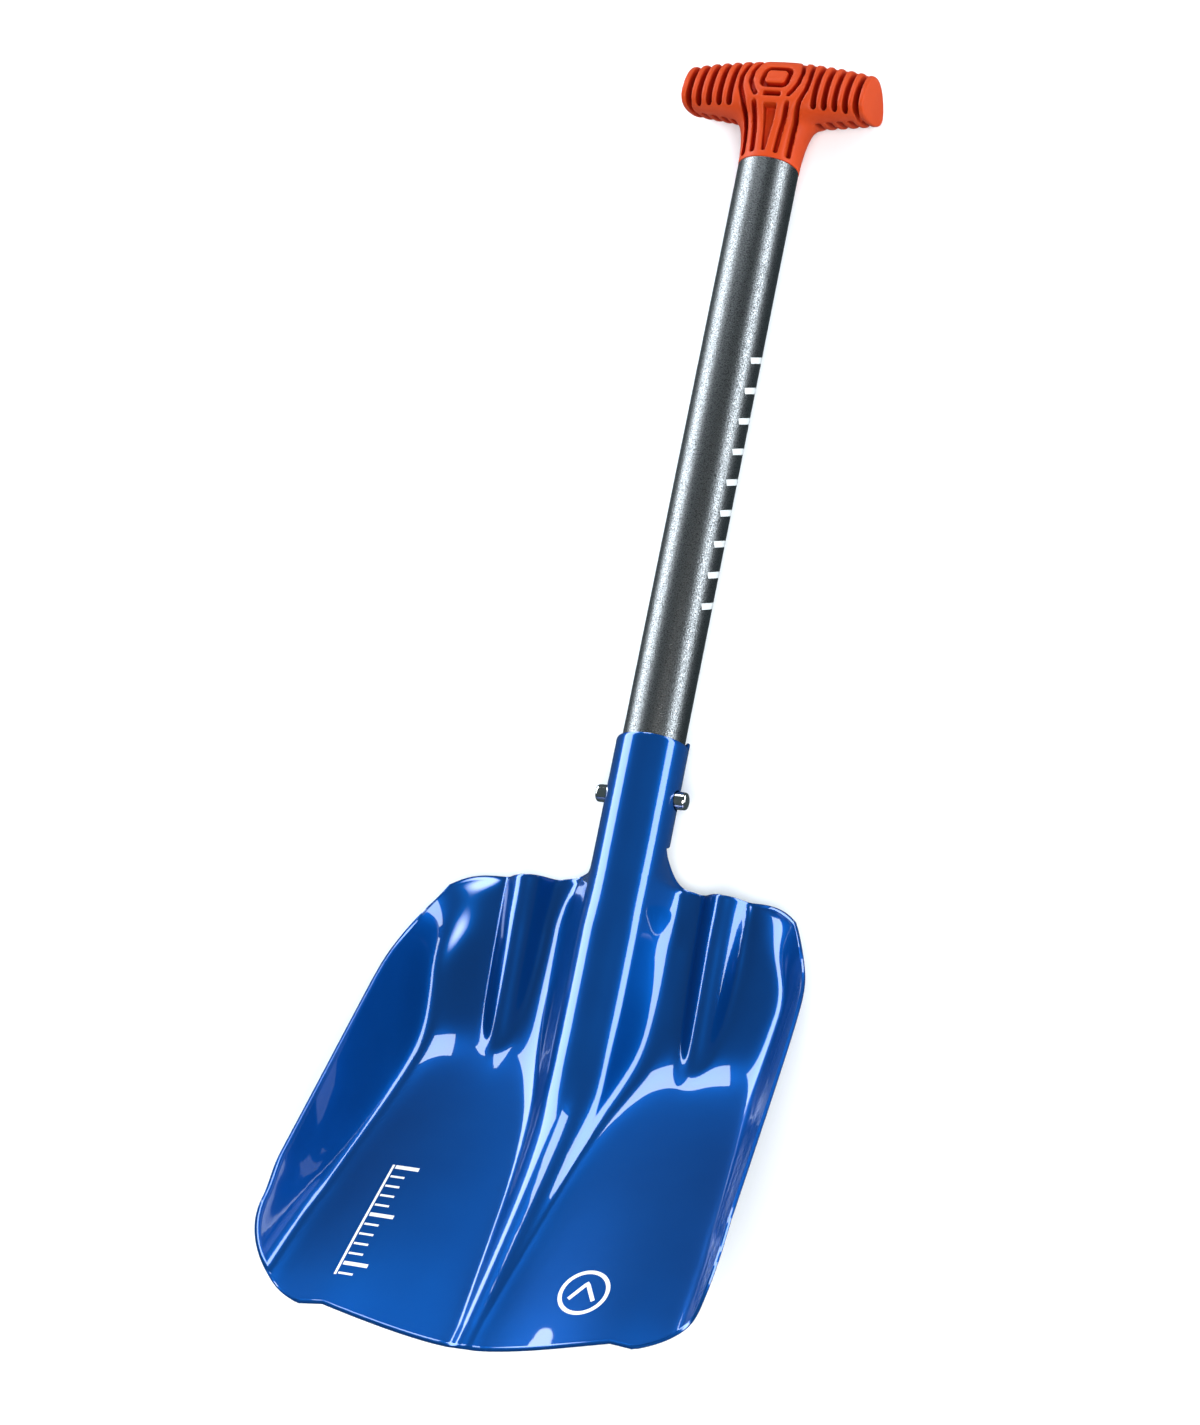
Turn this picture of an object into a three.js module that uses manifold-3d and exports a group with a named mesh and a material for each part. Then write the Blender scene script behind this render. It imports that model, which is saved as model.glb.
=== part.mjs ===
// Avalanche shovel: a pressed blade with a formed socket, a shaft tube held in it by two sprung
// buttons, and a T-grip whose spigot fills the top of the tube.
//
// Lengths are in millimetres. The pieces are drawn in the shaft's own frame: X across, Y along the
// shaft towards the grip, Z towards the open side of the blade, with the origin on the shaft's axis
// at the rim of the socket. The group at the end lays the shovel on its back, with +Z up and the
// origin at the bottom centre of its box.
import * as THREE from 'three';
import { mergeVertices } from 'three/addons/utils/BufferGeometryUtils.js';
import Module from 'manifold-3d';

const wasm = await Module();
wasm.setup();

const GAP = 0.3;                 // clearance between pieces that touch
const SLIVER = 0.02;             // edges and steps below this are tidied away after a boolean cut

// Shaft tube
const TUBE_RADIUS = 15;
const TUBE_WALL = 1.5;
const TUBE_BORE = TUBE_RADIUS - TUBE_WALL;
const TUBE_DEPTH = 88;           // how far the tube reaches below the socket's rim
const COLLAR_Y = 301.7;          // where the grip's collar meets the top of the tube
const TUBE_SIDES = 48;

// Blade sheet and socket
const SHEET = 2;
const SOCKET_RADIUS = TUBE_RADIUS + GAP + SHEET;
const SHELL_STEP = 0.05;         // the rear shell's faces lie this much inside the front sheet's
const SEAM_WIDTH = 0.8;
const TAB_HEIGHT = 4;            // the socket's rear wall stands this much above its front rim
const NECK_START = 51;           // depth below the rim at which the socket begins to open
const NECK_END = 68.5;           // depth of the shoulders' top edge
const NECK_FLARE = 17;
const FLANK_ANGLE = 62;          // steepest side of the central ridge below the neck, in degrees

// Pan of the blade, by depth below the rim and height forward of the shaft's axis
const FLOOR_SLOPE = 0.656;
const FLOOR_ZERO = 172.8;        // depth at which the floor crosses the shaft's axis
const HEEL_HEIGHT = -12;
const HEEL_SLOPE = -0.04;
const HEEL_ROUND = 16;           // how gently the heel turns up into the floor
const RIM_SLOPE = 0.555;
const RIM_ZERO = 86;
const WALL_SLOPE = 2.6;
const CORNER_WALL_SLOPE = 1.1;   // the walls start this much flatter at the upper corners
const DISH = 10.5;               // the floor's sides stand this much above its middle at the edge
const DISH_HALF_WIDTH = 75;
const CORNER_DEPTH = 80;         // depth of the upper corners
const TOOTH_DEPTH = 306;
const TOOTH_HALF_WIDTH = 77.3;
const NOTCH_DEPTH = 304.7;
const NOTCH_HALF_WIDTH = 66.6;
const EDGE_DEPTH = 315.7;        // depth of the middle of the cutting edge
const RIB_X = 48.5;
const RIB_TOP_DEPTH = 70.7;
const RIDGE_BEND = 175;          // depth at which the ridge leaves the shaft's line
const RIDGE_END = 305;
const RIDGE_HEIGHT = 11;

// Buttons and their spring
const BUTTON_Y = -26.8;
const BUTTON_RADIUS = 4.25;
const BUTTON_REACH = 22.8;       // distance of a button's tip from the shaft's axis
const BUTTON_HOLE = 5;
const TUBE_HOLE = BUTTON_RADIUS + GAP;
const FLANGE_RADIUS = 5.5;
const FLANGE_INNER = 10.8;
const FLANGE_OUTER = 12;
const SPRING_WIDTH = 7;
const SPRING_THICKNESS = 0.8;
const SPRING_LENGTH = 34;

// T-grip
const GRIP_HALF_WIDTH = 46.8;
const BAR_TOP = 358.3;
const BAR_BOTTOM = 327;
const BAR_DEPTH = 18;
const BAR_TAPER = 0.36;          // how much narrower the bar's section is at its top
const BAR_TILT = 16;             // degrees the section leans, its open side towards the blade
const SPIGOT_LENGTH = 32;
const GROOVE_PITCH = 5.3;
const GROOVE_WIDTH = 2.8;
const GROOVES_PER_SIDE = 5;
const FIRST_GROOVE_X = 21.5;
const GROOVE_FLOOR = 7.5;        // the grooves' floor, forward of the shaft's axis
const POCKET_REAR = -9;          // the pockets' reach behind and in front of the shaft's axis
const POCKET_FRONT = 3.5;
const BADGE_Y = 344.3;
const ENGRAVED_FLOOR = 11.5;     // the floor of the badge's moat and of the stem's slots

const smoothMax = (a, b, k) => 0.5 * (a + b + Math.hypot(a - b, k));
const clamp01 = (x) => Math.min(1, Math.max(0, x));
const ease = (x) => clamp01(x) ** 2 * (3 - 2 * clamp01(x));
const mix = (a, b, t) => a + (b - a) * t;
const radians = THREE.MathUtils.degToRad;

// ---------------------------------------------------------------- solids

function asSolid(geometry) {
  const bare = geometry.clone();
  bare.deleteAttribute('normal');
  bare.deleteAttribute('uv');
  const merged = mergeVertices(bare, 1e-4);
  return new wasm.Manifold(new wasm.Mesh({
    numProp: 3,
    vertProperties: new Float32Array(merged.attributes.position.array),
    triVerts: new Uint32Array(merged.index.array),
  }));
}

function asGeometry(solid) {
  const mesh = solid.simplify(SLIVER).getMesh();
  const geometry = new THREE.BufferGeometry();
  geometry.setAttribute('position', new THREE.BufferAttribute(new Float32Array(mesh.vertProperties), 3));
  geometry.setIndex(new THREE.BufferAttribute(new Uint32Array(mesh.triVerts), 1));
  geometry.computeVertexNormals();
  return geometry;
}

function cylinderX(radius, x0, x1, y, z, sides = 32) {
  const geometry = new THREE.CylinderGeometry(radius, radius, x1 - x0, sides);
  geometry.rotateZ(Math.PI / 2);
  geometry.translate((x0 + x1) / 2, y, z);
  return geometry;
}

function box(x0, x1, y0, y1, z0, z1) {
  const geometry = new THREE.BoxGeometry(x1 - x0, y1 - y0, z1 - z0);
  geometry.translate((x0 + x1) / 2, (y0 + y1) / 2, (z0 + z1) / 2);
  return geometry;
}

// A lathe whose axis is Y: the profile is a closed loop of [radius, y] pairs, or starts and ends on
// the axis.
function latheY(profile, sides = TUBE_SIDES) {
  return new THREE.LatheGeometry(profile.map(([r, y]) => new THREE.Vector2(r, y)), sides);
}

// A closed skin through rings of points that all have the same count and turn right-handed about
// the way from the first ring to the last, with a fan over each end.
function loft(rings) {
  const count = rings[0].length;
  const points = rings.flat();
  const triangles = [];
  for (let i = 0; i < rings.length - 1; i++) {
    for (let j = 0; j < count; j++) {
      const a = i * count + j;
      const b = i * count + (j + 1) % count;
      triangles.push(a, b, b + count, a, b + count, a + count);
    }
  }
  const last = (rings.length - 1) * count;
  for (let j = 1; j < count - 1; j++) {
    triangles.push(0, j + 1, j);
    triangles.push(last, last + j, last + j + 1);
  }
  const geometry = new THREE.BufferGeometry().setFromPoints(points);
  geometry.setIndex(triangles);
  return geometry;
}

// A plate drawn in X and Y and extruded along Z.
function plate(points, z0, z1) {
  const shape = new THREE.Shape(points.map(([x, y]) => new THREE.Vector2(x, y)));
  const geometry = new THREE.ExtrudeGeometry(shape, { depth: z1 - z0, bevelEnabled: false });
  geometry.translate(0, 0, z0);
  return geometry;
}

// ---------------------------------------------------------------- blade

const floorHeight = (d) => FLOOR_SLOPE * (d - FLOOR_ZERO);
const heelHeight = (d) => HEEL_HEIGHT + HEEL_SLOPE * (d - NECK_END);

// Height of the side walls' top edge: a line, raised at the upper corners, lowered at the far end.
function rimHeight(d) {
  return RIM_SLOPE * (d - RIM_ZERO) - 2 * ease((d - 240) / 20) + 3.3 * Math.exp(-(((d - 97) / 13) ** 2));
}

// Half the width between the side walls' planes at their rims; the upper corners round it off.
function wallHalfWidth(d) {
  return 100.4 + 0.042 * (d - 120) - 14.1 * Math.exp((CORNER_DEPTH - d) / 14);
}

// Half the width of the sheet's outline: the walls' width, less the round of the lower corners.
function outlineHalfWidth(d) {
  const cornerStart = 258;
  const t = clamp01((d - cornerStart) / (TOOTH_DEPTH - cornerStart));
  const full = wallHalfWidth(TOOTH_DEPTH) - 0.8 - TOOTH_HALF_WIDTH;
  return wallHalfWidth(d) - 0.8 * ease((d - 235) / 25) - full * t ** (2.4 + 1.4 * t * t);
}

// The ridge's section is a half round whose sides run on as straight flanks.
function flankAngle(d) {
  const t = clamp01((d - NECK_START) / (NECK_END - NECK_START));
  return radians(mix(90, FLANK_ANGLE, t * t));
}

function ridgeDrop(x, d) {
  const angle = flankAngle(d);
  const tangentX = SOCKET_RADIUS * Math.sin(angle);
  if (x <= tangentX) return SOCKET_RADIUS - Math.sqrt(Math.max(0, SOCKET_RADIUS ** 2 - x * x));
  return SOCKET_RADIUS * (1 - Math.cos(angle)) + Math.tan(angle) * (x - tangentX);
}

// 0 above the ridge's bend, rising evenly to 1 at its end.
function ridgeAlong(d) {
  return clamp01(smoothMax((d - RIDGE_BEND) / (RIDGE_END - RIDGE_BEND), 0, 0.03));
}

function ridgeHeight(x, d) {
  const along = ridgeAlong(d);
  const size = mix(1, 0.25, along);
  const bend = 0.5 + 9 * ease((d - 100) / 60);
  const crest = smoothMax(SOCKET_RADIUS, floorHeight(d) + RIDGE_HEIGHT * (1 - along), bend);
  return crest - size * ridgeDrop(x / size, d);
}

function panHeight(x, d) {
  const dish = DISH * ease((d - 130) / 170) * (1 - Math.cos(Math.PI * Math.min(x / DISH_HALF_WIDTH, 1))) / 2;
  const tray = smoothMax(floorHeight(d) + dish, heelHeight(d), HEEL_ROUND);
  const rib = -0.06 * (d - NECK_END) - (x - RIB_X) ** 2 / 12;
  const slope = mix(CORNER_WALL_SLOPE, WALL_SLOPE, ease((d - CORNER_DEPTH) / 45));
  const wall = rimHeight(d) - slope * (wallHalfWidth(d) - x);
  const crease = mix(15, 9, ease((d - 120) / 100));
  return smoothMax(smoothMax(tray, rib, 3), wall, crease);
}

// Height of the sheet's front face, for x measured from the middle plane.
function sheetHeight(x, d) {
  const blend = mix(mix(3, 15, ease((d - 58) / 40)), 5, ease((d - 120) / 120));
  return smoothMax(ridgeHeight(x, d), panHeight(x, d), blend);
}

function topEdgeDepth(x) {
  if (x <= RIB_X) return mix(NECK_END, RIB_TOP_DEPTH, clamp01((x - VALLEY_X) / (RIB_X - VALLEY_X)));
  return RIB_TOP_DEPTH + (CORNER_DEPTH - RIB_TOP_DEPTH) * ((x - RIB_X) / 36.1) ** 3.5;
}

function cuttingEdgeDepth(x) {
  if (x > NOTCH_HALF_WIDTH) {
    return mix(NOTCH_DEPTH, TOOTH_DEPTH, (x - NOTCH_HALF_WIDTH) / (TOOTH_HALF_WIDTH - NOTCH_HALF_WIDTH));
  }
  return EDGE_DEPTH - (EDGE_DEPTH - NOTCH_DEPTH) * (x / NOTCH_HALF_WIDTH) ** 1.5;
}

const RIDGE_COLUMNS = 6;                                  // half round, from the middle
const FLANK_COLUMNS = 5;
const VALLEY_X = SOCKET_RADIUS + NECK_FLARE;              // where the neck's flare ends
const OUTER_SHARES = [0.07, 0.14, 0.19, 0.29, 0.34, 0.4, 0.48, 0.6, 0.7, 0.76, 0.82, 0.88, 0.94, 1];
const NECK_ROWS = [0, 16, 32, 44, 51, 54, 57.5, 61, 64.5];
const PAN_ROWS = [80, 84, 89, 95, 103, 113, 124, 134, 142, 149, 156, 163, 170, 177, 185, 194, 205,
  217, 230, 243, 256, 266, 275, 283, 290, 296, 301, TOOTH_DEPTH];

// One side's front-face points of a row in the neck, from the middle outwards.
function neckRow(d) {
  const t = clamp01((d - NECK_START) / (NECK_END - NECK_START));
  const angle = flankAngle(d);
  const edgeX = SOCKET_RADIUS + NECK_FLARE * (1 - Math.sqrt(1 - t * t));
  const edgeZ = mix(0, HEEL_HEIGHT, ease(1.3 * t));
  const row = [];
  for (let j = 0; j <= RIDGE_COLUMNS; j++) {
    const turn = angle * j / RIDGE_COLUMNS;
    const x = SOCKET_RADIUS * Math.sin(turn);
    const round = SOCKET_RADIUS * Math.cos(turn);
    row.push([x, t > 0 ? mix(round, sheetHeight(x, d), t) : round]);
  }
  const [footX, footZ] = row[RIDGE_COLUMNS];
  const flankCount = t > 0 ? FLANK_COLUMNS : 0;
  for (let m = 1; m <= flankCount; m++) {
    const x = mix(footX, edgeX, m / FLANK_COLUMNS);
    const straight = mix(footZ, edgeZ, m / FLANK_COLUMNS);
    row.push([x, mix(straight, sheetHeight(x, d), t)]);
  }
  return row.map(([x, z]) => new THREE.Vector3(x, -d, z));
}

// One side's front-face points of a row in the pan; side is the row's depth at the outline.
function panRow(side) {
  const edgeX = outlineHalfWidth(side);
  const columns = [];
  for (let j = 0; j <= RIDGE_COLUMNS; j++) {
    columns.push(SOCKET_RADIUS * Math.sin(radians(FLANK_ANGLE) * j / RIDGE_COLUMNS));
  }
  const footX = columns[RIDGE_COLUMNS];
  for (let m = 1; m <= FLANK_COLUMNS; m++) columns.push(mix(footX, VALLEY_X, m / FLANK_COLUMNS));
  for (const share of OUTER_SHARES) columns.push(mix(VALLEY_X, edgeX, share));
  const topShare = clamp01((140 - side) / (140 - CORNER_DEPTH)) ** 2;
  const bottomShare = clamp01((side - 200) / (TOOTH_DEPTH - 200)) ** 2;
  return columns.map((x) => {
    const d = side + topShare * (topEdgeDepth(x) - CORNER_DEPTH)
      + bottomShare * (cuttingEdgeDepth(x) - TOOTH_DEPTH);
    return new THREE.Vector3(x, -d, sheetHeight(x, d));
  });
}

// Both sides of a row, from -X to +X, keyed by column number.
function mirrored(row) {
  const points = new Map();
  row.forEach((p, j) => {
    points.set(j, p);
    points.set(-j, new THREE.Vector3(-p.x, p.y, p.z));
  });
  return points;
}

// A closed solid between a sheet's front face and the same face moved back by its thickness.
function sheetSolid(rows, thickness) {
  const points = [];
  const indices = rows.map((row) => {
    const index = new Map();
    for (const [j, p] of row) {
      index.set(j, points.length);
      points.push(p);
    }
    return index;
  });
  const triangles = [];
  for (let i = 0; i < rows.length - 1; i++) {
    for (const j of indices[i].keys()) {
      const corners = [indices[i].get(j), indices[i + 1].get(j), indices[i + 1].get(j + 1), indices[i].get(j + 1)];
      if (corners.includes(undefined)) continue;
      const [a, b, c, e] = corners;
      if (j >= 0) triangles.push(a, b, c, a, c, e);
      else triangles.push(a, b, e, b, c, e);
    }
  }
  // the neck's rows gain their flank columns after its straight part: fans close that step
  for (let i = 0; i < rows.length - 1; i++) {
    const here = Math.max(...indices[i].keys());
    const next = Math.max(...indices[i + 1].keys());
    if (next > here && here === RIDGE_COLUMNS) {
      for (let j = here; j < next; j++) {
        triangles.push(indices[i].get(here), indices[i + 1].get(j), indices[i + 1].get(j + 1));
        triangles.push(indices[i].get(-here), indices[i + 1].get(-j - 1), indices[i + 1].get(-j));
      }
    }
  }
  const front = new THREE.BufferGeometry().setFromPoints(points);
  front.setIndex(triangles);
  front.computeVertexNormals();
  const normals = front.attributes.normal;
  const back = points.map((p, i) => p.clone().addScaledVector(
    new THREE.Vector3(normals.getX(i), normals.getY(i), normals.getZ(i)), -thickness));
  const count = points.length;
  const all = [...triangles];
  const directed = new Set();
  for (let k = 0; k < triangles.length; k += 3) {
    const [a, b, c] = triangles.slice(k, k + 3);
    all.push(a + count, c + count, b + count);
    for (const [p, q] of [[a, b], [b, c], [c, a]]) directed.add(`${p} ${q}`);
  }
  for (const edge of directed) {
    const [p, q] = edge.split(' ').map(Number);
    if (directed.has(`${q} ${p}`)) continue;
    all.push(q, p, p + count, q, p + count, q + count);
  }
  const solid = new THREE.BufferGeometry().setFromPoints([...points, ...back]);
  solid.setIndex(all);
  return solid;
}

// The socket's rear half: a part ring with a seam, a raised rear rim, and a slanting lower end.
function rearShell() {
  const outer = SOCKET_RADIUS - SHELL_STEP;
  const inner = SOCKET_RADIUS - SHEET + SHELL_STEP;
  const overlap = 6;
  const [from, to] = [radians(180 - overlap), radians(360 + overlap)];
  const shape = new THREE.Shape();
  shape.absarc(0, 0, outer, from, to, false);
  shape.absarc(0, 0, inner, to, from, true);
  const geometry = new THREE.ExtrudeGeometry(shape, {
    depth: NECK_END + TAB_HEIGHT, bevelEnabled: false, curveSegments: 16,
  });
  geometry.rotateX(Math.PI / 2);
  geometry.translate(0, TAB_HEIGHT, 0);
  const wide = SOCKET_RADIUS + 5;
  const tabSide = (z) => [[0.5, z], [TAB_HEIGHT + 1, z - 4], [TAB_HEIGHT + 1, 5], [0.02, 5], [0.02, z]];
  const sideCut = (outline) => {
    const cut = plate(outline, -wide, wide);
    cut.applyMatrix4(new THREE.Matrix4().set(
      0, 0, 1, 0,
      1, 0, 0, 0,
      0, 1, 0, 0,
      0, 0, 0, 1));
    return asSolid(cut);
  };
  const lowerEnd = [[-50.5, 3], [-42, -wide], [-NECK_END - 5, -wide], [-NECK_END - 5, 3]];
  return asSolid(geometry)
    .subtract(sideCut(tabSide(-4)))
    .subtract(sideCut(lowerEnd))
    .subtract(asSolid(box(-SEAM_WIDTH / 2, SEAM_WIDTH / 2, -NECK_END - 5, TAB_HEIGHT + 1, -wide, -5)));
}

function bladeGeometry() {
  const rows = [...NECK_ROWS.map(neckRow), ...PAN_ROWS.map(panRow)].map(mirrored);
  const sheet = asSolid(sheetSolid(rows, SHEET));
  const holes = asSolid(cylinderX(BUTTON_HOLE, -VALLEY_X, VALLEY_X, BUTTON_Y, 0));
  return asGeometry(sheet.add(rearShell()).subtract(holes));
}

// ---------------------------------------------------------------- shaft, buttons and spring

function tubeGeometry() {
  const [low, high] = [-TUBE_DEPTH, COLLAR_Y - GAP];
  const profile = [[TUBE_BORE, low], [TUBE_RADIUS, low], [TUBE_RADIUS, high], [TUBE_BORE, high], [TUBE_BORE, low]];
  const tube = asSolid(latheY(profile));
  const holes = asSolid(cylinderX(TUBE_HOLE, -TUBE_RADIUS - 2, TUBE_RADIUS + 2, BUTTON_Y, 0));
  const rivetHole = asSolid(rivetCutter(RIVET_RADIUS + GAP));
  return asGeometry(tube.subtract(holes).subtract(rivetHole));
}

function endPlugGeometry() {
  const seat = -TUBE_DEPTH - GAP;
  const profile = [
    [0, seat - 3], [TUBE_RADIUS - 1.6, seat - 3], [TUBE_RADIUS - 0.4, seat - 1.8], [TUBE_RADIUS - 0.4, seat],
    [TUBE_BORE - GAP, seat], [TUBE_BORE - GAP, seat + 14], [TUBE_BORE - 2.5, seat + 14],
    [TUBE_BORE - 2.5, seat + 1], [0, seat + 1],
  ];
  return latheY(profile);
}

// A button on the +X side: a flange inside the tube and a domed shank through tube and socket.
function buttonGeometry() {
  const tip = BUTTON_REACH;
  const round = 1.6;
  const profile = [
    [0, FLANGE_INNER], [FLANGE_RADIUS, FLANGE_INNER],
    [FLANGE_RADIUS, FLANGE_OUTER], [BUTTON_RADIUS, FLANGE_OUTER],
  ];
  for (let i = 0; i <= 4; i++) {
    const turn = (Math.PI / 2) * i / 4;
    profile.push([BUTTON_RADIUS - round + round * Math.cos(turn), tip - 0.5 - round + round * Math.sin(turn)]);
  }
  profile.push([0, tip]);
  const geometry = latheY(profile, 24);
  geometry.rotateZ(-Math.PI / 2);
  return geometry;
}

// The leaf spring: a strip bent into a U, its two free ends against the buttons' flanges.
function springGeometry() {
  const half = FLANGE_INNER - GAP - SPRING_THICKNESS / 2;
  const bend = half * 0.72;
  const free = -FLANGE_RADIUS;
  const centre = [[half, free], [half, FLANGE_RADIUS]];
  for (let i = 0; i <= 10; i++) {
    const turn = Math.PI * i / 10;
    centre.push([bend * Math.cos(turn), SPRING_LENGTH + bend * Math.sin(turn)]);
  }
  centre.push([-half, FLANGE_RADIUS], [-half, free]);
  const side = (sign) => centre.map(([x, y], i) => {
    const [px, py] = centre[Math.max(0, i - 1)];
    const [nx, ny] = centre[Math.min(centre.length - 1, i + 1)];
    const run = Math.hypot(nx - px, ny - py);
    const shift = sign * SPRING_THICKNESS / 2 / run;
    return [x + shift * (ny - py), y - shift * (nx - px)];
  });
  const geometry = plate([...side(1), ...side(-1).reverse()], -SPRING_WIDTH / 2, SPRING_WIDTH / 2);
  geometry.translate(0, BUTTON_Y, 0);
  return geometry;
}

// ---------------------------------------------------------------- grip and its rivet

const RIVET_Y = 288;
const RIVET_RADIUS = 2.4;
const RIVET_HEAD = 4.2;
const RIVET_DEPTH = 12;

// A short cylinder along Z, entering the tube from its back.
function rivetCutter(radius) {
  const length = RIVET_DEPTH + 2;
  const geometry = new THREE.CylinderGeometry(radius, radius, length, 20);
  geometry.rotateX(Math.PI / 2);
  geometry.translate(0, RIVET_Y, -TUBE_RADIUS - 2 + length / 2);
  return geometry;
}

function rivetGeometry() {
  const shank = TUBE_RADIUS - RIVET_DEPTH + 0.5;
  const seat = TUBE_RADIUS + GAP;
  const profile = [
    [0, shank], [RIVET_RADIUS, shank], [RIVET_RADIUS, seat],
    [RIVET_HEAD, seat], [RIVET_HEAD - 0.4, seat + 0.8], [RIVET_HEAD - 2, seat + 1.4], [0, seat + 1.6],
  ];
  const geometry = latheY(profile, 20);
  geometry.rotateX(-Math.PI / 2);
  geometry.translate(0, RIVET_Y, 0);
  return geometry;
}

// The bar's section at x: a leaning rounded shape, narrower at its top, arched towards the middle.
function barSection(x) {
  const t = Math.abs(x) / GRIP_HALF_WIDTH;
  const top = BAR_TOP - 5 * t * t;
  const bottom = BAR_BOTTOM + 3.5 * t * t;
  const [tiltCos, tiltSin] = [Math.cos(radians(BAR_TILT)), Math.sin(radians(BAR_TILT))];
  const ring = [];
  for (let i = 0; i < 32; i++) {
    const turn = -2 * Math.PI * i / 32;
    const [c, s] = [Math.cos(turn), Math.sin(turn)];
    const up = (top - bottom) / 2 * Math.sign(s) * Math.abs(s) ** 0.83;
    const forward = BAR_DEPTH * Math.sign(c) * Math.abs(c) ** 0.83 * (1 - BAR_TAPER * s);
    const y = (top + bottom) / 2 + up * tiltCos - forward * tiltSin;
    ring.push(new THREE.Vector3(x, y, forward * tiltCos + up * tiltSin));
  }
  return ring;
}

function stemRing(y) {
  const halfWidth = TUBE_RADIUS + 3 * ((y - COLLAR_Y) / 25) ** 2;
  const ring = [];
  for (let i = 0; i < 32; i++) {
    const turn = 2 * Math.PI * i / 32;
    ring.push(new THREE.Vector3(halfWidth * Math.sin(turn), y, TUBE_RADIUS * Math.cos(turn)));
  }
  return ring;
}

// A rounded rectangle's outline, centred on the shaft's middle plane at the height y.
function roundedOutline(halfX, halfY, corner, y) {
  const points = [];
  for (const [sx, sy, start] of [[1, 1, 0], [-1, 1, 90], [-1, -1, 180], [1, -1, 270]]) {
    for (let i = 0; i <= 4; i++) {
      const turn = radians(start + 22.5 * i);
      const x = sx * (halfX - corner) + corner * Math.cos(turn);
      points.push([x, y + sy * (halfY - corner) + corner * Math.sin(turn)]);
    }
  }
  return points;
}

// The ribs: on each side, grooves down the bar's front and pockets in its underside.
function grooveCuts() {
  const front = BAR_DEPTH + 10;
  const cuts = [];
  for (let i = 0; i < GROOVES_PER_SIDE; i++) {
    for (const side of [-1, 1]) {
      const x = side * (FIRST_GROOVE_X + GROOVE_PITCH * i);
      const [x0, x1] = [x - GROOVE_WIDTH / 2, x + GROOVE_WIDTH / 2];
      cuts.push(box(x0, x1, BAR_BOTTOM + 4, BAR_TOP + 5, GROOVE_FLOOR, front));
      cuts.push(box(x0, x1, BAR_BOTTOM - 5, BAR_BOTTOM + 4.5, POCKET_REAR, POCKET_FRONT));
    }
  }
  return cuts.map(asSolid);
}

// The engraved marks of the stem and the badge: three slots up the stem and a square moat.
function engravedCuts() {
  const front = BAR_DEPTH + 10;
  const [low, high] = [COLLAR_Y + 4, COLLAR_Y + 27];
  const moat = asSolid(plate(roundedOutline(7.6, 6.8, 4, BADGE_Y), ENGRAVED_FLOOR, front))
    .subtract(asSolid(plate(roundedOutline(5.2, 4.4, 2, BADGE_Y), ENGRAVED_FLOOR - 5, front + 5)));
  const middleSlot = [[-0.9, low], [0.9, low], [3.3, high], [-3.3, high]];
  const rightSlot = [[4.7, low], [6.9, low], [9.5, high + 0.5], [7.3, high + 1]];
  const leftSlot = rightSlot.map(([x, y]) => [-x, y]).reverse();
  const slots = [leftSlot, middleSlot, rightSlot].map((outline) => asSolid(plate(outline, ENGRAVED_FLOOR, front)));
  return [moat, ...slots];
}

function gripGeometry() {
  const barSections = 11;
  const barRings = [];
  for (let i = 0; i < barSections; i++) {
    barRings.push(barSection(mix(-GRIP_HALF_WIDTH, GRIP_HALF_WIDTH, i / (barSections - 1))));
  }
  const stemRings = [];
  for (let i = 0; i <= 8; i++) stemRings.push(stemRing(mix(COLLAR_Y, BAR_BOTTOM + 12, i / 8)));
  const spigotEnd = COLLAR_Y - SPIGOT_LENGTH;
  const spigot = latheY([
    [0, spigotEnd], [TUBE_BORE - 1, spigotEnd], [TUBE_BORE - GAP, spigotEnd + 1.5],
    [TUBE_BORE - GAP, COLLAR_Y + 2], [0, COLLAR_Y + 2],
  ]);
  let grip = asSolid(loft(barRings)).add(asSolid(loft(stemRings))).add(asSolid(spigot));
  const rivetHole = asSolid(rivetCutter(RIVET_RADIUS + GAP));
  for (const cut of [...grooveCuts(), ...engravedCuts(), rivetHole]) grip = grip.subtract(cut);
  return asGeometry(grip);
}

// ---------------------------------------------------------------- assembly

const lacquer = new THREE.MeshStandardMaterial({ color: 0x0b3f8f, roughness: 0.18, metalness: 0.3 });
const graphite = new THREE.MeshStandardMaterial({ color: 0x4a4d50, roughness: 0.42, metalness: 0.8 });
const orange = new THREE.MeshStandardMaterial({ color: 0xf0592b, roughness: 0.55, metalness: 0 });
const steel = new THREE.MeshStandardMaterial({ color: 0xb9b4ad, roughness: 0.15, metalness: 1 });
const blackPlastic = new THREE.MeshStandardMaterial({ color: 0x1c1d1f, roughness: 0.6, metalness: 0 });

function piece(name, geometry, material) {
  const mesh = new THREE.Mesh(geometry, material);
  mesh.name = name;
  return mesh;
}

const shovel = new THREE.Group();
shovel.add(piece('blade', bladeGeometry(), lacquer));
shovel.add(piece('shaft_tube', tubeGeometry(), graphite));
shovel.add(piece('shaft_end_plug', endPlugGeometry(), blackPlastic));
shovel.add(piece('grip', gripGeometry(), orange));
shovel.add(piece('grip_rivet', rivetGeometry(), steel));
shovel.add(piece('button_spring', springGeometry(), steel));

const rightButton = piece('snap_button_right', buttonGeometry(), steel);
rightButton.position.set(0, BUTTON_Y, 0);
const leftButton = piece('snap_button_left', buttonGeometry(), steel);
leftButton.position.set(0, BUTTON_Y, 0);
leftButton.rotation.y = Math.PI;
shovel.add(rightButton, leftButton);

// On its back: the grip's rear touches the ground, and the origin is under the box's middle.
const extent = new THREE.Box3().setFromObject(shovel);
shovel.position.set(0, -(extent.min.y + extent.max.y) / 2, -extent.min.z);

const part = new THREE.Group();
part.add(shovel);
part.updateMatrixWorld(true);

export default part;
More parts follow.
